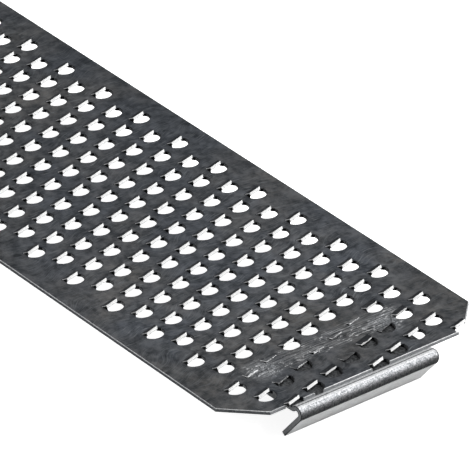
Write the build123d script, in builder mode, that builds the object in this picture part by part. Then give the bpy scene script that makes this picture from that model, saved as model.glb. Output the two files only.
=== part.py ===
"""Flat perforated rasp blade for a planer rasp: a toothed strip with a hook welded under each end.

Millimetres. X runs along the blade, and the teeth cut towards +X. Y runs across it and Z is up,
on the toothed side. The origin is the middle of the blade, on the plane that its hooks stand on.
"""

import os
from math import acos, atan2, cos, degrees, radians, sin, tan

from build123d import *

os.makedirs("parts", exist_ok=True)

# ---- driving dimensions -------------------------------------------------------------------

# the strip
strip_length = 250.0
strip_width = 42.0
strip_thickness = 0.5
corner_cut = 5.0  # along each side of a corner

# the field of teeth
tooth_pitch = 8.7  # from tooth to tooth along a row
row_step = 2.03  # from row to row across the strip
row_lead = 0.42  # each row starts this share of a pitch ahead of the row below it
rows_each_side = 8
field_offset = 0.3  # of the middle row, across the strip
end_gap = 2.98  # from the middle of the last tooth of row end_gap_row to the strip's end
end_gap_row = 5
front_overhang = 0.35  # a tooth is cut if its middle is at most this far past the front end
rear_room = 0.3  # a tongue stays on if its hinge is at least this far inside the rear end

# one tooth, its plan measured from the middle of the tooth
hinge_near = (-0.85, -1.72)  # where the tongue leaves the strip, towards -Y
hinge_far = (-1.65, 1.13)  # and towards +Y
edge_near = (-0.02, -1.40)  # the two ends of the cutting edge
edge_far = (-0.80, 0.83)
tooth_height = 0.5
tooth_tip = 0.43  # a tongue thins from the full sheet to this at its edge
side_foot = (0.37, -1.60)  # the near side is drawn up, not sheared, from the hinge to here
side_sheet = 0.12  # and the drawn side is this thick
rim_share = 0.025  # the opening starts this share of the way along the hinge, in the drawn side
front_near = (0.41, -1.54)  # its front is an arc through three points
front_middle = (1.22, -0.18)
front_far = (-0.15, 1.33)
shoulder = (-0.50, 1.32)  # and its far side has two more corners
shoulder_foot = (-0.90, 0.98)

# a hook
hook_width = 23.0
hook_offset = -1.1  # the front hook sits this far off the centre line
hook_sheet = 0.7
hook_plate = 10.6  # how far the flat reaches in under the strip
bend_inside = 0.4  # inside radius
swell_height = 0.4  # the bend stands this far above the strip's lower edge
swell_radius = 0.2  # of the hollow between the flat and the bend
end_clearance = 0.03  # from the strip's end to where the hollow starts
leg_angle = 50.0  # below horizontal, pointing back under the strip
leg_length = 5.1

# the spot welds that join a hook to the strip
weld_middle = 8.9  # from the strip's end
press_width = 3.8  # teeth are pressed flat over this much of the strip
press_length = 24.0
nugget_radius = 1.4
nugget_count = 4
nugget_pitch = 5.6
nugget_depth = 0.3  # sunk in the hook's flat

# ---- places that follow -------------------------------------------------------------------

half_length = strip_length / 2
half_width = strip_width / 2
bend_outside = bend_inside + hook_sheet
bend_middle_drop = bend_outside - swell_height  # the middle of the bend, below the strip's back
swell_angle = degrees(acos((bend_middle_drop + swell_radius) / (bend_outside + swell_radius)))
leg_fall = sin(radians(leg_angle))
leg_reach = cos(radians(leg_angle))
strip_back = bend_middle_drop + bend_outside * leg_reach + leg_length * leg_fall
strip_top = strip_back + strip_thickness

# ---- one tooth ----------------------------------------------------------------------------

hinge = Vector(*hinge_far) - Vector(*hinge_near)
forward = hinge.cross(Vector(0, 0, 1)).normalized()
tongue_run = (Vector(*edge_near) - Vector(*hinge_near)).dot(forward)
rise = atan2(tooth_height, tongue_run)
hinge_plane = Plane(origin=hinge_far, x_dir=forward, z_dir=-hinge)
side_stretch = 1.6  # a tongue is drawn this much longer and wider, then trimmed to its sides
blank_length = side_stretch * hinge.length
near_stretch = Vector(*edge_near) + forward * tongue_run
far_stretch = Vector(*hinge_far) + (Vector(*edge_far) - Vector(*hinge_far)) * side_stretch

along_foot = Vector(*side_foot) - Vector(*hinge_near)
up_side = Vector(*edge_near, tooth_height) - Vector(*hinge_near)
drawn_side = Plane(origin=hinge_near, x_dir=along_foot, z_dir=along_foot.cross(up_side))

with BuildPart() as undercut:  # the space under a tongue, inside its drawn side
    with BuildSketch(hinge_plane):
        with BuildLine():
            Polyline(
                (strip_thickness * tan(rise / 2), -strip_thickness),
                (tongue_run + tooth_tip * sin(rise), tooth_height - tooth_tip * cos(rise)),
                (2 * tongue_run, tooth_height - tooth_tip * cos(rise)),
                (2 * tongue_run, -strip_thickness),
                close=True,
            )
        make_face()
    extrude(amount=blank_length)
    split(bisect_by=drawn_side.offset(-side_sheet), keep=Keep.BOTTOM)

with BuildPart() as tongue:
    with BuildSketch(hinge_plane):
        with BuildLine():
            Polyline(
                (0, -strip_thickness),
                (0, 0),
                (tongue_run, tooth_height),
                (tongue_run + (tooth_height + strip_thickness) * tan(rise), -strip_thickness),
                close=True,
            )
        make_face()
    extrude(amount=blank_length)
    with BuildSketch(Plane.XY.offset(-strip_thickness)):
        with BuildLine():
            Polyline(
                hinge_near,
                side_foot,
                edge_near,
                near_stretch,
                far_stretch,
                hinge_far,
                close=True,
            )
        make_face()
    extrude(amount=strip_thickness + tooth_height, mode=Mode.INTERSECT)
    split(bisect_by=drawn_side, keep=Keep.BOTTOM)
    add(undercut.part, mode=Mode.SUBTRACT)

with BuildSketch() as opening:
    with BuildLine():
        Polyline(
            front_far,
            shoulder,
            shoulder_foot,
            hinge_far,
            Vector(*hinge_near) + hinge * rim_share,
            front_near,
        )
        ThreePointArc(front_near, front_middle, front_far)
    make_face()

# ---- where the teeth stand ----------------------------------------------------------------


def is_pressed(x, y):
    """Whether a tooth stands where a weld has pressed the strip flat, at either end."""
    end = 1 if x > 0 else -1
    from_end = half_length - abs(x)
    across = y - end * hook_offset
    return abs(from_end - weld_middle) < press_width / 2 and abs(across) < press_length / 2


def row_of_teeth(row):
    """The middles of one row's teeth, from the front end to the rear."""
    lead = (row - end_gap_row) * row_lead * tooth_pitch
    x = half_length - end_gap + lead
    x += tooth_pitch * ((half_length + front_overhang - x) // tooth_pitch)
    while x + front_middle[0] > -half_length:
        yield (x, row * row_step + field_offset)
        x -= tooth_pitch


rows = range(-rows_each_side, rows_each_side + 1)
openings = [spot for row in rows for spot in row_of_teeth(row) if not is_pressed(*spot)]
tongues = [(x, y) for x, y in openings if x + hinge_far[0] > rear_room - half_length]

# ---- the strip ----------------------------------------------------------------------------

with BuildPart() as rasp_strip:
    with BuildSketch(Plane.XY.offset(strip_back)):
        with BuildLine():
            Polyline(
                (half_length - corner_cut, -half_width),
                (half_length, corner_cut - half_width),
                (half_length, half_width - corner_cut),
                (half_length - corner_cut, half_width),
                (corner_cut - half_length, half_width),
                (-half_length, half_width - corner_cut),
                (-half_length, corner_cut - half_width),
                (corner_cut - half_length, -half_width),
                close=True,
            )
        make_face()
        with Locations(*openings):
            add(opening.sketch, mode=Mode.SUBTRACT)
    extrude(amount=strip_thickness)
    with Locations(*[(x, y, strip_top) for x, y in tongues]):
        add(tongue.part)
    with BuildSketch(Plane.XY.offset(strip_back)):  # nothing but a tongue's top passes the end
        with Locations((half_length, 0)):
            Rectangle(tooth_pitch, strip_width, align=(Align.MIN, Align.CENTER))
    extrude(amount=strip_thickness, mode=Mode.SUBTRACT)
rasp_strip.part.label = "rasp_strip"
export_step(rasp_strip.part, "parts/rasp_strip.step")

# ---- the hooks ----------------------------------------------------------------------------

weld_plane = Plane((half_length - weld_middle, hook_offset, strip_back))
hook_profile = Plane((half_length, hook_offset, strip_back), x_dir=(1, 0, 0), z_dir=(0, -1, 0))

with BuildPart() as front_hook:
    with BuildSketch(hook_profile):
        with BuildLine():
            flat = Line((-hook_plate, 0), (end_clearance, 0))
            hollow = JernArc(flat @ 1, flat % 1, swell_radius, swell_angle)
            bend = JernArc(hollow @ 1, hollow % 1, bend_outside, leg_angle - swell_angle - 180)
            Line(bend @ 1, bend @ 1 + (bend % 1) * leg_length)
            offset(amount=hook_sheet, side=Side.RIGHT)
        make_face()
    extrude(amount=hook_width / 2, both=True)
    with BuildSketch(weld_plane):
        with GridLocations(0, nugget_pitch, 1, nugget_count):
            Circle(nugget_radius)
    extrude(amount=-nugget_depth, mode=Mode.SUBTRACT)
front_hook.part.label = "front_hook"
export_step(front_hook.part, "parts/front_hook.step")

with BuildPart() as rear_hook:
    with Locations(Location((0, 0, 0), (0, 0, 180))):
        add(front_hook.part)
rear_hook.part.label = "rear_hook"
export_step(rear_hook.part, "parts/rear_hook.step")

# ---- the welds ----------------------------------------------------------------------------

with BuildPart() as front_weld:
    with BuildSketch(weld_plane):
        with GridLocations(0, nugget_pitch, 1, nugget_count):
            Circle(nugget_radius)
    extrude(amount=-nugget_depth)
front_weld.part.label = "front_weld"
export_step(front_weld.part, "parts/front_weld.step")

with BuildPart() as rear_weld:
    with Locations(Location((0, 0, 0), (0, 0, 180))):
        add(front_weld.part)
rear_weld.part.label = "rear_weld"
export_step(rear_weld.part, "parts/rear_weld.step")
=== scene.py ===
"""Looks of the perforated rasp blade: a toothed strip of tempered steel, a bright hook under each end.

Metres, in the frame of the CAD part: +X is the way the teeth cut, +Z is up, on the toothed side.
"""

from math import radians

import bmesh
import bpy
from mathutils import Matrix, Vector
from mathutils.noise import noise_vector, seed_set


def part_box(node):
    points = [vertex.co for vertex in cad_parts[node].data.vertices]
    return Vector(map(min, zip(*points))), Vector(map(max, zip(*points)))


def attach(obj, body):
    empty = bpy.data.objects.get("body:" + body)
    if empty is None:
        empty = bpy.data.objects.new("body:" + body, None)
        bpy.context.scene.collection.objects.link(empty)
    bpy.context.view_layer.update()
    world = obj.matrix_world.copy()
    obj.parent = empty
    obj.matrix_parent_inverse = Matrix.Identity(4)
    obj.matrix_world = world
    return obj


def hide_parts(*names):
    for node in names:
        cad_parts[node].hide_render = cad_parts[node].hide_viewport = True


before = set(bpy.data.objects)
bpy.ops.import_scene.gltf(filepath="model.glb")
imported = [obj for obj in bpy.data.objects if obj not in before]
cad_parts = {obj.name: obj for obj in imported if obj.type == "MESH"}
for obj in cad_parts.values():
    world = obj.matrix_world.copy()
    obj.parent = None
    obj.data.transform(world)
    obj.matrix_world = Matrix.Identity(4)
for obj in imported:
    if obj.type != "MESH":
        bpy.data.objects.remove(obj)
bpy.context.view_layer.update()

mm = 0.001
scene = bpy.context.scene

# ---- sizes shared with the part ---------------------------------------------------------

half_length = 125 * mm
half_width = 21 * mm
corner_cut = 5.0 * mm  # along each side of a corner
strip_sheet = 0.5 * mm
strip_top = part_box("rasp_strip")[0].z + strip_sheet
tooth_height = 0.5 * mm
tooth_pitch = 8.7 * mm  # from tooth to tooth along a row
row_step = 2.03 * mm  # from row to row across the strip
row_lead = 0.42  # each row starts this share of a pitch ahead of the row below it
field_offset = 0.3 * mm  # of the middle row, across the strip
end_gap = 2.98 * mm  # from the middle of the last tooth of row end_gap_row to the strip's end
end_gap_row = 5
hook_offset = -1.1 * mm  # of the front hook, across the strip
hook_width = 23 * mm
weld_middle = 8.9 * mm  # from the strip's end
press_width = 3.8 * mm  # teeth are pressed flat over this much of the strip
press_length = 24 * mm
tooth_forward = Vector((0.957, 0.291, 0)).normalized()  # about square to a tooth's hinge

hair = 0.01 * mm  # places nearer to each other than this are the same
level_z = 0.999  # a level face's normal is at least this upright


# ---- small helpers ----------------------------------------------------------------------

def linear(hex_colour):
    """An sRGB hex value as linear red, green, blue and alpha."""
    parts = [int(hex_colour[k:k + 2], 16) / 255 for k in (1, 3, 5)]
    return [p / 12.92 if p <= 0.04045 else ((p + 0.055) / 1.055) ** 2.4 for p in parts] + [1.0]


def add_node(tree, kind, links=None, stops=(), **settings):
    """A shader node with its settings, its inputs' links or values, and a colour ramp's stops."""
    node = tree.nodes.new("ShaderNode" + kind)
    for name, value in settings.items():
        setattr(node, name, value)
    for name, source in (links or {}).items():
        if isinstance(source, bpy.types.Node):
            source = source.outputs[0]
        if isinstance(source, bpy.types.NodeSocket):
            tree.links.new(source, node.inputs[name])
        else:
            node.inputs[name].default_value = source
    for number, (position, colour) in enumerate(stops):
        node.color_ramp.elements[number].position = position
        node.color_ramp.elements[number].color = linear(colour)
    return node


def new_material(name):
    """A material with no nodes yet, and its tree."""
    material = bpy.data.materials.new(name)
    material.use_nodes = True
    material.node_tree.nodes.clear()
    return material, material.node_tree


def new_steel(name):
    """A new material, its tree, and a point's place on its piece, in metres and in millimetres.

    Patterns are laid out in millimetres, because a noise can't be scaled to less than 1 mm in metres.
    """
    material, tree = new_material(name)
    place = add_node(tree, "TexCoord").outputs["Object"]
    grid = add_node(tree, "VectorMath", {0: place, "Scale": 1 / mm}, operation="SCALE")
    return material, tree, place, grid


def finish_steel(tree, colour, metallic, rough, height, depth):
    """Joins a principled shader to the material's output, with a bump of that height and depth."""
    bump = add_node(tree, "Bump", {"Height": height, "Distance": depth})
    shader = add_node(tree, "BsdfPrincipled", {
        "Base Color": colour, "Metallic": metallic, "Roughness": rough, "Normal": bump,
    })
    add_node(tree, "OutputMaterial", {"Surface": shader})


# ---- materials --------------------------------------------------------------------------

eased = {"interpolation_type": "SMOOTHSTEP"}  # for a Map Range with no hard edges

# where the welding has thrown bright metal out: near each end of each row of welds
weld_splashes = [(end * (half_length - from_end), end * y, strip_top) for end in (1, -1)
                 for from_end, y in ((8.4 * mm, -10.6 * mm), (7.9 * mm, 9.2 * mm))]


def oxide_colour(tree, grid, blotches):
    """The oxide that tempering leaves: clouds of cool and warm grey, blotched and rubbed."""
    clouds = add_node(tree, "TexNoise", {
        "Vector": grid, "Scale": 1 / 13, "Detail": 4.0, "Roughness": 0.6,
    })
    cloud_greys = ((0.38, "#5F636A"), (0.66, "#767472"))
    blotch_greys = ((0.38, "#8C9196"), (0.62, "#FFFFFF"))
    cloudy = add_node(tree, "ValToRGB", {"Fac": clouds}, stops=cloud_greys)
    blotchy = add_node(tree, "ValToRGB", {"Fac": blotches}, stops=blotch_greys)
    colour = add_node(tree, "MixRGB", {"Fac": 1.0, "Color1": cloudy, "Color2": blotchy},
                      blend_type="MULTIPLY")

    # the marks of the rolls and of rubbing, which wander across the strip: the real ones are finer
    # than 0.05 mm, and these are drawn 0.13 mm wide so that they show
    wander = add_node(tree, "TexNoise", {"Vector": grid, "Scale": 1 / 9, "Detail": 1.0})
    bent = add_node(tree, "VectorMath", {0: wander.outputs["Color"], 1: (8, 0, 0), 2: grid},
                    operation="MULTIPLY_ADD")
    drawn_out = add_node(tree, "VectorMath", {0: bent, 1: (0.13, 2.2, 1)}, operation="DIVIDE")
    strokes = add_node(tree, "TexNoise", {
        "Vector": drawn_out, "Scale": 1.0, "Detail": 2.0, "Roughness": 0.6,
    })
    faint = add_node(tree, "MapRange", {
        "Value": strokes, "From Min": 0.45, "From Max": 0.7, "To Max": 0.45,
    }, **eased)
    colour = add_node(tree, "MixRGB", {"Fac": faint, "Color1": colour, "Color2": linear("#7F8488")})
    patches = add_node(tree, "TexNoise", {"Vector": grid, "Scale": 1 / 7, "Detail": 2.0})
    patches = add_node(tree, "MapRange", {
        "Value": patches, "From Min": 0.42, "From Max": 0.62, "To Max": 0.7,
    }, **eased)
    clear = add_node(tree, "MapRange", {"Value": strokes, "From Min": 0.66, "From Max": 0.72}, **eased)
    clear = add_node(tree, "Math", {0: clear, 1: patches}, operation="MULTIPLY")
    return add_node(tree, "MixRGB", {"Fac": clear, "Color1": colour, "Color2": linear("#A4A7AA")})


def weld_places(tree, place, along, across, up):
    """Where welding has marked the strip's top: the pressed band over each hook, and the splashes."""
    on_top = add_node(tree, "MapRange", {
        "Value": up, "From Min": strip_top - 0.4 * mm, "From Max": strip_top - 0.1 * mm,
    }, **eased)
    off_band = add_node(tree, "Math", {0: along, 1: half_length - weld_middle}, operation="SUBTRACT")
    off_band = add_node(tree, "Math", {0: off_band}, operation="ABSOLUTE")
    in_width = add_node(tree, "MapRange", {
        "Value": off_band, "From Min": 2.4 * mm, "From Max": 1.5 * mm,
    }, **eased)
    in_length = add_node(tree, "MapRange", {
        "Value": across, "From Min": 13 * mm, "From Max": 11.5 * mm,
    }, **eased)
    band = add_node(tree, "Math", {0: in_width, 1: in_length}, operation="MULTIPLY")
    band = add_node(tree, "Math", {0: band, 1: on_top}, operation="MULTIPLY")

    splash = 0.0
    for centre in weld_splashes:
        reach = add_node(tree, "VectorMath", {0: place, 1: centre}, operation="DISTANCE")
        one_splash = add_node(tree, "MapRange", {
            "Value": reach.outputs["Value"], "From Min": 3.2 * mm, "From Max": 1.0 * mm,
        }, **eased)
        splash = add_node(tree, "Math", {0: splash, 1: one_splash}, operation="MAXIMUM")
    splash = add_node(tree, "Math", {0: splash, 1: on_top}, operation="MULTIPLY")
    return band, splash


def tempered_steel():
    """Spring steel strip, hardened and tempered to a dark oxide skin: dull, half metal to the eye.

    Cloudy and blotched, darker along its margins, at its ends and towards its middle. Over each hook
    the welding press has left streaks, and bright scuffs and frozen drops near the ends of the welds.
    """
    material, tree, place, grid = new_steel("tempered_strip_steel")
    blotches = add_node(tree, "TexNoise", {
        "Vector": grid, "Scale": 1 / 1.6, "Detail": 7.0, "Roughness": 0.75,
    })
    colour = oxide_colour(tree, grid, blotches)

    axes = add_node(tree, "SeparateXYZ", {"Vector": place}).outputs
    along = add_node(tree, "Math", {0: axes["X"]}, operation="ABSOLUTE")
    across = add_node(tree, "Math", {0: axes["Y"]}, operation="ABSOLUTE")
    shaded = (
        (along, half_length - 20 * mm, half_length - 70 * mm, 0.22),
        (along, half_length - 20 * mm, half_length - 12 * mm, 0.18),
        (across, 16.5 * mm, 18.5 * mm, 0.13),
    )
    for value, none_at, all_at, amount in shaded:
        shade = add_node(tree, "MapRange", {
            "Value": value, "From Min": none_at, "From Max": all_at, "To Max": amount,
        }, **eased)
        colour = add_node(tree, "MixRGB", {"Fac": shade, "Color1": colour, "Color2": linear("#1B1E22")})

    band, splash = weld_places(tree, place, along, across, axes["Z"])
    flash = add_node(tree, "Math", {0: splash, 1: 1.3}, operation="MULTIPLY")
    flash = add_node(tree, "Math", {0: band, 1: flash}, operation="MAXIMUM")
    pale = add_node(tree, "Math", {0: splash, 1: 0.4}, operation="MULTIPLY")
    colour = add_node(tree, "MixRGB", {"Fac": pale, "Color1": colour, "Color2": linear("#9A9DA1")})

    # streaks across the strip where the press has wiped it, bright and then dark: drawn 0.16 mm wide,
    # where the real ones are hairlines, so that they show
    drawn_out = add_node(tree, "VectorMath", {0: grid, 1: (0.16, 5, 1)}, operation="DIVIDE")
    streaks = add_node(tree, "TexNoise", {
        "Vector": drawn_out, "Scale": 1.0, "Detail": 4.0, "Roughness": 0.65,
    })
    bright = add_node(tree, "MapRange", {"Value": streaks, "From Min": 0.48, "From Max": 0.64}, **eased)
    bright = add_node(tree, "Math", {0: band, 1: bright}, operation="MULTIPLY")
    uneven = add_node(tree, "TexNoise", {"Vector": grid, "Scale": 1 / 3, "Detail": 2.0})
    uneven = add_node(tree, "MapRange", {
        "Value": uneven, "From Min": 0.38, "From Max": 0.62, "To Min": 0.25, "To Max": 0.85,
    }, **eased)
    bright = add_node(tree, "Math", {0: bright, 1: uneven}, operation="MULTIPLY")
    colour = add_node(tree, "MixRGB", {"Fac": bright, "Color1": colour, "Color2": linear("#C2C4C6")})
    dark = add_node(tree, "MapRange", {
        "Value": streaks, "From Min": 0.48, "From Max": 0.36, "To Max": 0.6,
    }, **eased)
    dark = add_node(tree, "Math", {0: flash, 1: dark}, operation="MULTIPLY")
    colour = add_node(tree, "MixRGB", {"Fac": dark, "Color1": colour, "Color2": linear("#15171A")})

    # scuffs down to bare metal, 0.3 by 0.8 mm, gathered in places 2 mm across
    short = add_node(tree, "VectorMath", {0: grid, 1: (0.3, 0.8, 1)}, operation="DIVIDE")
    scuffs = add_node(tree, "TexNoise", {
        "Vector": short, "Scale": 1.0, "Detail": 4.0, "Roughness": 0.65,
    })
    scuffs = add_node(tree, "MapRange", {"Value": scuffs, "From Min": 0.56, "From Max": 0.64}, **eased)
    scuffs = add_node(tree, "Math", {0: flash, 1: scuffs}, operation="MULTIPLY")
    gathered = add_node(tree, "TexNoise", {"Vector": grid, "Scale": 1 / 2, "Detail": 1.0})
    gathered = add_node(tree, "MapRange", {
        "Value": gathered, "From Min": 0.44, "From Max": 0.56,
    }, **eased)
    scuffs = add_node(tree, "Math", {0: scuffs, 1: gathered}, operation="MULTIPLY")
    colour = add_node(tree, "MixRGB", {"Fac": scuffs, "Color1": colour, "Color2": linear("#DCDDDE")})

    # the skin's own grain is too fine to show and is drawn 0.12 mm across; the drops are 0.7 mm
    height = add_node(tree, "TexNoise", {"Vector": grid, "Scale": 1 / 0.12, "Detail": 2.0})
    ridges = add_node(tree, "Math", {0: flash, 1: streaks}, operation="MULTIPLY")
    height = add_node(tree, "Math", {0: height, 1: ridges}, operation="ADD")
    drops = add_node(tree, "TexNoise", {"Vector": grid, "Scale": 1 / 0.7, "Detail": 3.0})
    drops = add_node(tree, "MapRange", {
        "Value": drops, "From Min": 0.4, "From Max": 0.6, "To Max": 6.0,
    }, **eased)
    drops = add_node(tree, "Math", {0: splash, 1: drops}, operation="MULTIPLY")
    height = add_node(tree, "Math", {0: height, 1: drops}, operation="ADD")
    rough = add_node(tree, "MapRange", {
        "Value": blotches, "From Min": 0.3, "From Max": 0.7, "To Min": 0.42, "To Max": 0.56,
    }, **eased)
    finish_steel(tree, colour, 0.5, rough, height, 0.02 * mm)
    return material


def ground_steel():
    """Hardened steel, ground bare on each tooth's front: pale satin, lined by the wheel.

    The wheel's lines are some 0.01 mm apart and are drawn 0.04 mm apart, so that they show.
    """
    material, tree, _, grid = new_steel("ground_tooth_steel")
    drawn_out = add_node(tree, "VectorMath", {0: grid, 1: (0.5, 0.5, 0.04)}, operation="DIVIDE")
    lines = add_node(tree, "TexNoise", {"Vector": drawn_out, "Scale": 1.0, "Detail": 2.0})
    colour = add_node(tree, "ValToRGB", {"Fac": lines}, stops=((0.3, "#BEBFC0"), (0.6, "#D8D8D7")))
    finish_steel(tree, colour, 0.25, 0.42, lines, 0.01 * mm)
    return material


def sheared_steel():
    """The wall that a punch tears through the strip: rough and torn, dark from oxide and from painted
    shade.
    """
    material, tree, _, grid = new_steel("sheared_wall_oxide_and_painted_shade")
    upright = add_node(tree, "VectorMath", {0: grid, 1: (0.12, 0.12, 0.5)}, operation="DIVIDE")
    tears = add_node(tree, "TexNoise", {"Vector": upright, "Scale": 1.0, "Detail": 3.0})
    colour = add_node(tree, "ValToRGB", {"Fac": tears}, stops=((0.35, "#1B1D1F"), (0.65, "#383A3D")))
    finish_steel(tree, colour, 0.2, 0.62, tears, 0.02 * mm)
    return material


def marked_steel(name, dark, light, metallic):
    """Steel with worn or torn marks, between two greys.

    The real marks are finer than 0.1 mm and are drawn 0.3 mm across, so that they show.
    """
    material, tree, _, grid = new_steel(name)
    marks = add_node(tree, "TexNoise", {
        "Vector": grid, "Scale": 1 / 0.3, "Detail": 4.0, "Roughness": 0.7,
    })
    colour = add_node(tree, "ValToRGB", {"Fac": marks}, stops=((0.35, dark), (0.65, light)))
    finish_steel(tree, colour, metallic, 0.45, marks, 0.015 * mm)
    return material


def hook_steel():
    """Cold-rolled mild steel, left bright: mirrors softly, with the grain that bending opens on it.

    The real grain is about 0.05 mm and is drawn 0.2 to 0.3 mm across, so that it shows.
    """
    material, tree, _, grid = new_steel("bright_hook_steel")
    drawn_out = add_node(tree, "VectorMath", {0: grid, 1: (0.3, 0.22, 0.3)}, operation="DIVIDE")
    grain = add_node(tree, "TexNoise", {
        "Vector": drawn_out, "Scale": 1.0, "Detail": 4.0, "Roughness": 0.8,
    })
    colour = add_node(tree, "ValToRGB", {"Fac": grain}, stops=((0.4, "#66686B"), (0.58, "#ADAEB0")))
    rough = add_node(tree, "MapRange", {
        "Value": grain, "From Min": 0.35, "From Max": 0.65, "To Min": 0.53, "To Max": 0.41,
    }, **eased)
    finish_steel(tree, colour, 0.95, rough, grain, 0.06 * mm)
    return material


steel_strip = tempered_steel()
steel_ground = ground_steel()
steel_wall_oxide_and_shade = sheared_steel()
steel_hook = hook_steel()
# painted highlight: thin pale lines on the arrises, where the edges catch the light
steel_painted_highlight = marked_steel("arris_painted_highlight", "#A2A4A6", "#E0E1E2", 0.2)
# the strip's sides, sheared and then tempered: mid grey, torn
steel_side = marked_steel("sheared_strip_side", "#55585B", "#7A7D80", 0.4)
# the back of each tooth, painted darker than the strip's skin: painted shade for a slope that faces
# away from the light
steel_ramp_painted_shade = marked_steel("tooth_ramp_painted_shade", "#1E2124", "#303338", 0.4)
# each tooth's drawn side, painted black as shade: the darkest thing on the blade
steel_drawn_painted_shade = marked_steel("tooth_side_painted_shade", "#070708", "#121314", 0.8)
# the edge of a pressed tooth: dark, with bright scuffs
steel_scuffed = marked_steel("scuffed_tooth_edge", "#2A2C2E", "#E0E1E2", 0.4)
# a sheared wall, painted paler as if lit where the lamps leave it in shade, and smoother to the eye
# than a torn one
steel_painted_light_wall = marked_steel("sheared_wall_painted_light", "#7C7E80", "#9A9C9E", 0.2)
# the outer face of a hook's leg: pale and even, a painted reflection of the white floor
steel_leg_painted_reflection = marked_steel("hook_leg_painted_reflection", "#DADBDC", "#EDEEEE", 0.15)
# a hook's flat: painted shade for the strip's shadow over it, dark with greyer patches
steel_hook_flat_painted_shade = marked_steel("hook_flat_painted_shade", "#0E0F10", "#6A6C6E", 0.4)
# the near rim of a hook: a dark line round its section
steel_hook_rim = marked_steel("dark_hook_rim", "#3A3C3F", "#55575A", 0.5)


# ---- pieces -----------------------------------------------------------------------------

def from_cad(node, join=0.002 * mm, join_flats=True):
    """A merged copy of a CAD node's mesh, its plane faces joined up, the level ones only if asked."""
    bm = bmesh.new()
    bm.from_mesh(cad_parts[node].data)
    bmesh.ops.remove_doubles(bm, verts=bm.verts, dist=join)
    edges = [edge for edge in bm.edges
             if join_flats or any(abs(face.normal.z) < level_z for face in edge.link_faces)]
    bmesh.ops.dissolve_limit(bm, angle_limit=radians(0.6), verts=bm.verts, edges=edges)
    bm.normal_update()
    return bm


def round_edges(bm, edges, radius, segments, material):
    """Rounds those edges off and gives the new faces that material."""
    made = bmesh.ops.bevel(bm, geom=edges, offset=radius, segments=segments, profile=0.5,
                           affect="EDGES", material=-1, clamp_overlap=False)
    for face in made["faces"]:
        face.material_index = material
    bm.normal_update()


def put_in_order(bm):
    """The same mesh made afresh with its faces in one order, as a bevel or copy leaves them in any."""
    bm.verts.index_update()
    ranked = sorted(bm.faces, key=lambda face: [v.index for v in face.verts])
    rank = {face: number for number, face in enumerate(ranked)}
    bm.faces.sort(key=rank.get)
    mesh = bpy.data.meshes.new("in_order")
    bm.to_mesh(mesh)
    bm.free()
    fresh = bmesh.new()
    fresh.from_mesh(mesh)
    bpy.data.meshes.remove(mesh)
    return fresh


def make_piece(bm, name, node, materials, sharp=32):
    """A finished piece from a bmesh: it rides on the blade and stands for the CAD node."""
    mesh = bpy.data.meshes.new(name)
    bm.to_mesh(mesh)
    bm.free()
    piece = bpy.data.objects.new(name, mesh)
    scene.collection.objects.link(piece)
    for material in materials:
        mesh.materials.append(material)
    mesh.shade_smooth()
    mesh.set_sharp_from_angle(angle=radians(sharp))
    weighted = piece.modifiers.new("flat_faces_stay_flat", "WEIGHTED_NORMAL")
    weighted.keep_sharp = True
    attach(piece, "root")
    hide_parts(node)


# ---- the strip --------------------------------------------------------------------------

rim_round = 0.08 * mm  # round every opening, hinge and outline
side_round = 0.07 * mm  # between a tooth's back and its drawn side
burr = 0.04 * mm  # under a tooth's ground face

# the numbers of the strip's skins, in the order of its materials; rim is never left on a face
skin, ground, wall, arris, side, ramp_skin, drawn, scuffed, painted_light_wall, rim = range(10)
strip_steels = [steel_strip, steel_ground, steel_wall_oxide_and_shade, steel_painted_highlight, steel_side, steel_ramp_painted_shade,
                steel_drawn_painted_shade, steel_scuffed, steel_painted_light_wall]


def tooth_spot(row, end, from_end=weld_middle):
    """The middle of the row's tooth nearest to that place, at the front end (1) or the rear (-1)."""
    x = half_length - end_gap + (row - end_gap_row) * row_lead * tooth_pitch
    target = end * (half_length - from_end)
    x += tooth_pitch * round((target - x) / tooth_pitch)
    return Vector((x, row * row_step + field_offset, strip_top))


def near(point, spot, reach=2.2 * mm):
    """Whether a point is within reach of a spot, in plan, which takes in one tooth."""
    return (point - spot).xy.length < reach


def on_outline(edge, slack=0.2 * mm):
    """Whether an edge runs along the strip's outline."""
    middle = (edge.verts[0].co + edge.verts[1].co) / 2
    x = abs(middle.x) + slack
    y = abs(middle.y) + slack
    return x > half_length or y > half_width or x + y - slack > half_length + half_width - corner_cut


def kind(face):
    """What a face of the strip is: flat, ramp, ground, drawn, under, wall or other."""
    n = face.normal
    lean = n.dot(tooth_forward)
    if n.z > level_z:
        return "flat"
    if 0.85 < n.z < 0.9 and lean < -0.4:  # a tooth's back, 30 degrees up from its hinge
        return "ramp"
    if 0.4 < n.z < 0.65 and lean > 0.7:  # its front, ground square to its back
        return "ground"
    if 0.2 < n.z < 0.75 and n.y < -0.6:  # its near side, drawn up out of the sheet
        return "drawn"
    if -0.95 < n.z < -0.45:
        return "under"
    return "wall" if abs(n.z) < 0.3 else "other"


def edges_between(bm, first, second):
    """The edges where a face of one kind meets one of another."""
    found = []
    for edge in bm.edges:
        if len(edge.link_faces) == 2 and {kind(f) for f in edge.link_faces} == {first, second}:
            found.append(edge)
    return found


# the punched outlines come with some sides shorter than the rounding, so these are joined up, and
# the level faces stay in triangles, because one face round 481 openings can't be rounded
bm = from_cad("rasp_strip", join=0.06 * mm, join_flats=False)

# at the rear end one opening leaves a neck 0.06 mm wide, too thin to round, so it is widened
neck = 0.3 * mm
neck_spot = tooth_spot(-5, -1, 1.7 * mm)
for v in bm.verts:
    if near(v.co, neck_spot) and hair < v.co.x + half_length < neck:
        v.co.x = neck - half_length

# the rounds between a tooth's back and its drawn side take the pale painted highlight
round_edges(bm, edges_between(bm, "ramp", "drawn"), side_round, 1, arris)
round_edges(bm, edges_between(bm, "ground", "under"), burr, 1, side)
rims = [edge for edge in bm.edges if len(edge.link_faces) == 2
        and sorted(kind(face) == "flat" for face in edge.link_faces) == [False, True]]
round_edges(bm, rims, rim_round, 3, rim)

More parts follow.
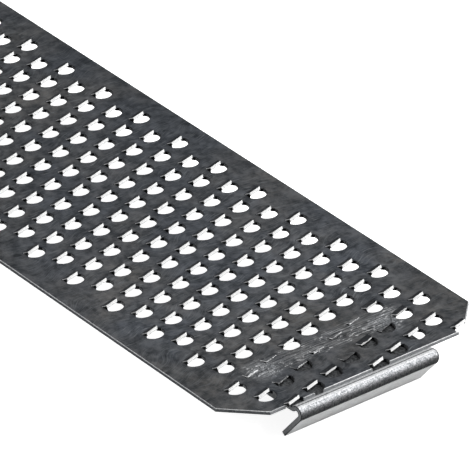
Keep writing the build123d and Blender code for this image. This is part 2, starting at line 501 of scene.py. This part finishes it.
# the strip's level top is filled afresh between the rounded rims
level_top = [face for face in bm.faces if abs(face.normal.z) > level_z
             and face.calc_center_median().z > strip_top - hair]
bmesh.ops.delete(bm, geom=level_top, context="FACES")
open_edges = [edge for edge in bm.edges if edge.is_boundary]
bmesh.ops.triangle_fill(bm, edges=open_edges, normal=(0, 0, 1), use_beauty=True)

# each face takes the skin of what it is
for face in bm.faces:
    what = kind(face)
    if face.material_index == rim:
        lean = face.normal.dot(tooth_forward)
        hinged = -0.5 < lean < -0.15 and face.normal.z > 0.85  # half way from level to a ramp
        outline = all(on_outline(edge) for edge in face.edges)
        # an outline rim takes the pale painted highlight, a hinge rim the ramp's painted shade
        face.material_index = arris if outline else ramp_skin if hinged else skin
    elif what == "ground":
        face.material_index = ground
    elif what == "ramp":
        face.material_index = ramp_skin
    elif what == "drawn":
        face.material_index = drawn
    elif what == "wall" and face.material_index == skin:
        level_edges = [edge for edge in face.edges
                       if abs(edge.verts[0].co.z - edge.verts[1].co.z) < hair]
        if level_edges and all(on_outline(edge) for edge in level_edges):
            face.material_index = painted_light_wall if abs(face.normal.x) > 0.95 else side
        elif face.normal.y < -0.3 and face.normal.x < 0.3:  # the far side of an opening, painted lighter as if lit
            face.material_index = painted_light_wall
        else:
            face.material_index = skin if face.normal.x < -0.2 else wall

# ---- teeth that the welding press has flattened, wholly or in part -------------------------

seed_set(3)  # without a seed the dents would differ each run
bm = put_in_order(bm)
pattern_spot = tooth_spot(0, 1, 80 * mm)  # of a whole tooth to copy, well away from the welds
raised = strip_top + hair
pattern = [face for face in bm.faces if near(face.calc_center_median(), pattern_spot)
           and face.calc_center_median().z > raised]

battered = {ground: scuffed, arris: scuffed, ramp_skin: skin}  # what each skin of a tooth turns into
battered_below = 0.6  # where a tooth keeps less than this share of its height
dent_size = 0.4 * mm
lowest = 0.02 * mm  # how far above the strip a pressed tooth stays

# a pressed tooth keeps 0.16 to 0.28 of its height, by its row
pressed_share = 0.16
pressed_more = 0.04
pressed_slide = 0.1 * mm
pressed_dent = 0.35 * mm

# teeth at each end that are bent without being pressed flat: the row, the millimetres from the end,
# and the share of its height that the tooth keeps
bent_teeth = (
    (4, 6.6, 0.2), (0, 3.9, 0.4), (2, 5.2, 0.6), (-3, 6.1, 0.3), (-5, 4.7, 0.45),
    (-2, 2.5, 0.75), (6, 8.0, 0.7), (5, 11.7, 0.75), (-2, 11.2, 0.85),
)
bent_slide = 0.5 * mm  # for a tooth that keeps none of its height
bent_dent = 0.45 * mm


def batter(spot, height, slide, dent):
    """Presses a tooth down to a share of its height, slides its edge forward and dents it unevenly."""
    faces = [face for face in bm.faces if near(face.calc_center_median(), spot)
             and kind(face) == "ground" and face.calc_center_median().z > raised]
    edges = []  # in a fixed order, so that each run gives the same dents
    for edge in (edge for face in faces for edge in face.edges):
        if edge not in edges and min(v.co.z for v in edge.verts) > raised:
            edges.append(edge)
    bmesh.ops.subdivide_edges(bm, edges=edges, cuts=3, use_grid_fill=True)
    for face in bm.faces:
        if near(face.calc_center_median(), spot) and height < battered_below:
            face.material_index = battered.get(face.material_index, face.material_index)
    for v in bm.verts:
        if near(v.co, spot) and v.co.z > raised:
            lift = (v.co.z - strip_top) / tooth_height
            v.co += (tooth_forward * slide + noise_vector(v.co / dent_size) * dent) * lift
            v.co.z = max(strip_top + (v.co.z - strip_top) * height, strip_top + lowest)


def plant_tooth(move):
    """Copies the pattern tooth, closes it with a root sunk in the strip, and moves it into place."""
    copy = bmesh.ops.duplicate(bm, geom=pattern)["geom"]
    open_edges = [part for part in copy if isinstance(part, bmesh.types.BMEdge) and part.is_boundary]
    root = bmesh.ops.extrude_edge_only(bm, edges=open_edges)["geom"]
    root_verts = [part for part in root if isinstance(part, bmesh.types.BMVert)]
    for v in root_verts:
        v.co.z = strip_top - strip_sheet / 2
    root_edges = [part for part in root if isinstance(part, bmesh.types.BMEdge) and part.is_boundary]
    bmesh.ops.holes_fill(bm, edges=root_edges)
    copied = [part for part in copy if isinstance(part, bmesh.types.BMVert)]
    bmesh.ops.translate(bm, verts=copied + root_verts, vec=move)


for end in (1, -1):
    for row in range(-7, 8):
        spot = tooth_spot(row, end)
        from_end = half_length - abs(spot.x)
        across = abs(spot.y - end * hook_offset)
        if abs(from_end - weld_middle) < press_width / 2 and across < press_length / 2:
            plant_tooth(spot - pattern_spot)
            batter(spot, pressed_share + pressed_more * (row % 4), pressed_slide, pressed_dent)
    for row, from_end, height in bent_teeth:
        spot = tooth_spot(end * row, end, from_end * mm)
        batter(spot, height, (1 - height) * bent_slide, (1 - height) * bent_dent)
make_piece(put_in_order(bm), "toothed_strip", "rasp_strip", strip_steels)

# ---- the hooks --------------------------------------------------------------------------

far_rim_round = 0.45 * mm
near_rim_round = 0.1 * mm

# the numbers of a hook's skins, in the order of its materials
hook_skin, end_face, hook_rim, leg_face, shaded_flat, crown_painted_highlight = range(6)
hook_steels = [steel_hook, steel_painted_light_wall, steel_hook_rim, steel_leg_painted_reflection, steel_hook_flat_painted_shade, steel_painted_highlight]

for node, end in (("front_hook", 1), ("rear_hook", -1)):
    bm = from_cad(node)
    far = end * (hook_offset + hook_width / 2)
    close = end * (hook_offset - hook_width / 2)
    far_rims = []
    close_rims = []
    for edge in bm.edges:
        a, b = (v.co for v in edge.verts)
        if abs(a.y - b.y) < hair and min(a.x * end, b.x * end) > half_length - 5 * mm:
            if abs(a.y - far) < hair:
                far_rims.append(edge)
            elif abs(a.y - close) < hair:
                close_rims.append(edge)
    for face in bm.faces:
        out = face.normal.x * end
        if abs(face.normal.y) > 0.9:
            # a hook's end takes the sheared walls' painted light
            face.material_index = end_face
        elif out > 0.7 and face.normal.z < -0.6 and face.calc_area() > 20 * mm * mm:
            # a leg's outer face takes the painted reflection
            face.material_index = leg_face
        elif face.normal.z > level_z:
            face.material_index = shaded_flat
        elif face.normal.z > 0.3 and out < 0.45:  # the top of the bend and the hollow behind it: painted highlight
            face.material_index = crown_painted_highlight
    round_edges(bm, close_rims, near_rim_round, 2, hook_rim)
    round_edges(bm, [edge for edge in far_rims if edge.is_valid], far_rim_round, 4, hook_skin)
    make_piece(bm, node + "_bright", node, hook_steels, sharp=50)
# the welds take the hooks' painted shade
for node in ("front_weld", "rear_weld"):
    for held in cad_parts[node].material_slots:
        held.material = steel_hook_flat_painted_shade

# ---- floor, light and camera ------------------------------------------------------------

def white_floor():
    """Plain paper: clear white with a soft shadow to the eye, and dark in what the steel mirrors."""
    material, tree = new_material("white_floor")
    rays = add_node(tree, "LightPath").outputs
    paper = add_node(tree, "BsdfDiffuse", {"Color": linear("#F2F2F2")})
    dark = add_node(tree, "BsdfDiffuse", {"Color": linear("#3C3C3C")})
    glow = add_node(tree, "Emission", {"Color": linear("#FFFFFF"), "Strength": 0.88})
    seen = add_node(tree, "AddShader", {0: paper, 1: glow})
    mixed = add_node(tree, "MixShader", {"Fac": rays["Is Glossy Ray"], 1: paper, 2: dark})
    mixed = add_node(tree, "MixShader", {"Fac": rays["Is Camera Ray"], 1: mixed, 2: seen})
    add_node(tree, "OutputMaterial", {"Surface": mixed})
    return material


def white_studio():
    """A world that lights the blade dimly from all round and is white to the eye."""
    world = bpy.data.worlds.new("studio")
    world.use_nodes = True
    tree = world.node_tree
    tree.nodes.clear()
    rays = add_node(tree, "LightPath").outputs
    sky = add_node(tree, "Background", {"Color": linear("#FFFFFF"), "Strength": 0.12})
    white = add_node(tree, "Background", {"Color": linear("#FFFFFF"), "Strength": 1.0})
    mixed = add_node(tree, "MixShader", {"Fac": rays["Is Camera Ray"], 1: sky, 2: white})
    add_node(tree, "OutputWorld", {"Surface": mixed})
    return world


def soft_lamp(name, towards, size, power):
    """A square studio lamp in that direction from the blade's front end, facing it."""
    lamp = bpy.data.lights.new(name, "AREA")
    lamp.shape = "SQUARE"
    lamp.size = size
    lamp.energy = power
    holder = bpy.data.objects.new(name, lamp)
    direction = Vector(towards).normalized()
    holder.location = lit_place + direction * lamp_distance
    holder.rotation_mode = "QUATERNION"
    holder.rotation_quaternion = direction.to_track_quat("Z", "Y")
    scene.collection.objects.link(holder)


floor_mesh = bpy.data.meshes.new("floor")
bm = bmesh.new()
bmesh.ops.create_grid(bm, x_segments=1, y_segments=1, size=6.0)
bm.to_mesh(floor_mesh)
bm.free()
floor = bpy.data.objects.new("floor", floor_mesh)
floor_mesh.materials.append(white_floor())
scene.collection.objects.link(floor)

lit_place = Vector((0.09, 0, 0))
lamp_distance = 1.2
soft_lamp("overhead_lamp", (0.34, 0.53, 0.78), 1.1, 20)
soft_lamp("side_lamp", (0.45, 0.86, 0.22), 0.5, 4)
soft_lamp("fill_lamp", (-0.35, -0.85, 0.36), 0.8, 4)
scene.world = white_studio()

# a long lens, looking down on the front end from its near side
camera_data = bpy.data.cameras.new("camera")
camera_data.sensor_width = 36.0
camera_data.lens = 487.0
camera_data.clip_start = 0.01
camera_data.clip_end = 20.0
camera = bpy.data.objects.new("camera", camera_data)
right = Vector((0.613138, 0.789939, -0.007648))
up = Vector((-0.40222, 0.3205, 0.857612))
back = Vector((0.679912, -0.522759, 0.51424))
front_end = Vector((half_length, 0, strip_top))
stand = front_end + Vector((539.657 * mm, -436.354 * mm, 436.495 * mm))
turned = Matrix((right, up, back)).transposed().to_4x4()
camera.matrix_world = Matrix.Translation(stand) @ turned
scene.collection.objects.link(camera)
scene.camera = camera
scene.view_settings.view_transform = "Standard"
